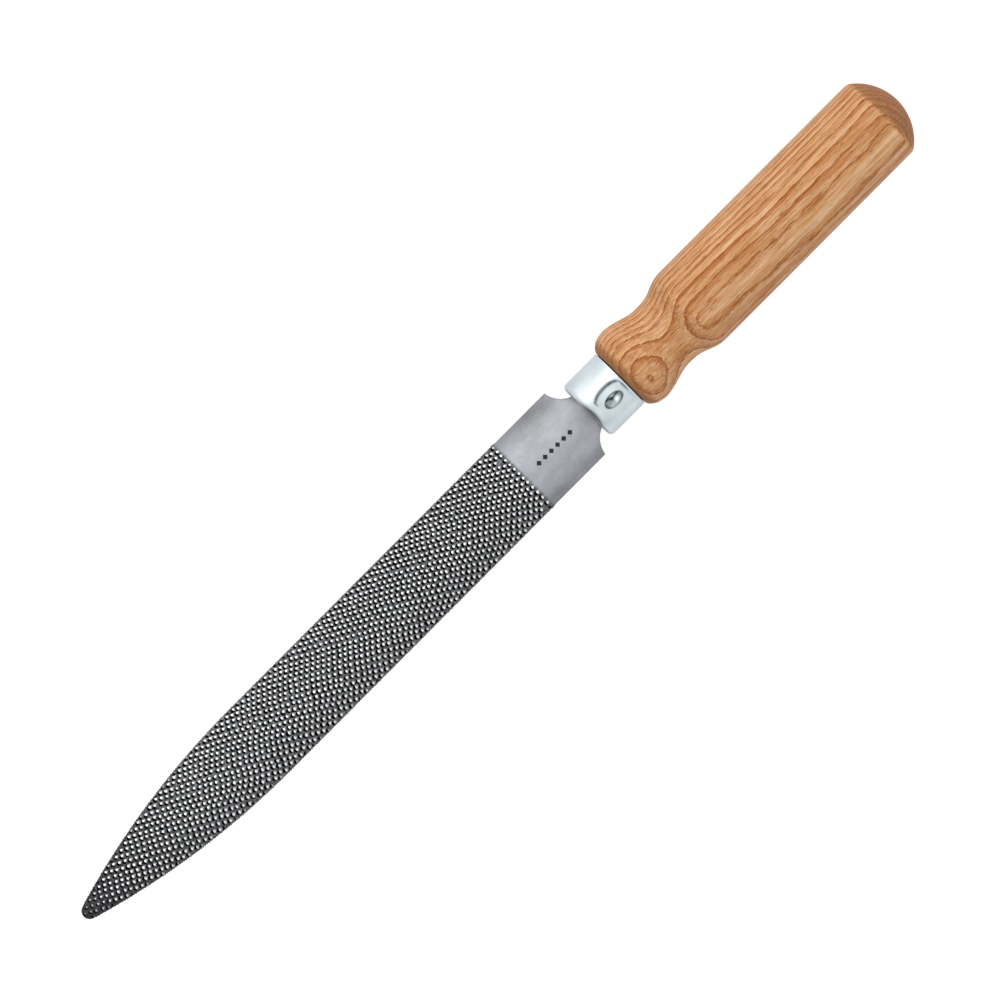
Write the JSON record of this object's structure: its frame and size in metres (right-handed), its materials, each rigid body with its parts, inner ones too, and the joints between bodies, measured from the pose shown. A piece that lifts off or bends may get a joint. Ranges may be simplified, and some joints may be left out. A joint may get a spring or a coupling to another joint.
{
  "type": "wood rasp",
  "caption": "Half-round cabinet rasp: tapered steel blade with punched teeth, steel ferrule and turned ash handle on a driven tang.",
  "frame": {"origin": "on the handle's axis, at the middle of the grip cylinder", "axes": "+X along the tool from the point towards the butt, +Z out of the half-round face, flat face of the blade down"},
  "size_m": [0.3311, 0.0272, 0.0272],
  "materials": {
    "tool_steel": "dark as-punched teeth, satin ground heel",
    "zinc_plated_steel": "bright zinc plating, smooth drawn surface",
    "ash_wood": "turned and clear-lacquered ash, growth rings running along the handle"
  },
  "bodies": {
    "blade_body": {"rasp_blade": "tool_steel"},
    "handle_body": {"handle": "ash_wood", "ferrule": "zinc_plated_steel"}
  },
  "joints": [
    {"name": "handle_pull", "type": "slide", "parent": "blade_body", "child": "handle_body", "axis": [1, 0, 0], "range_m": [0, 0.06]}
  ]
}
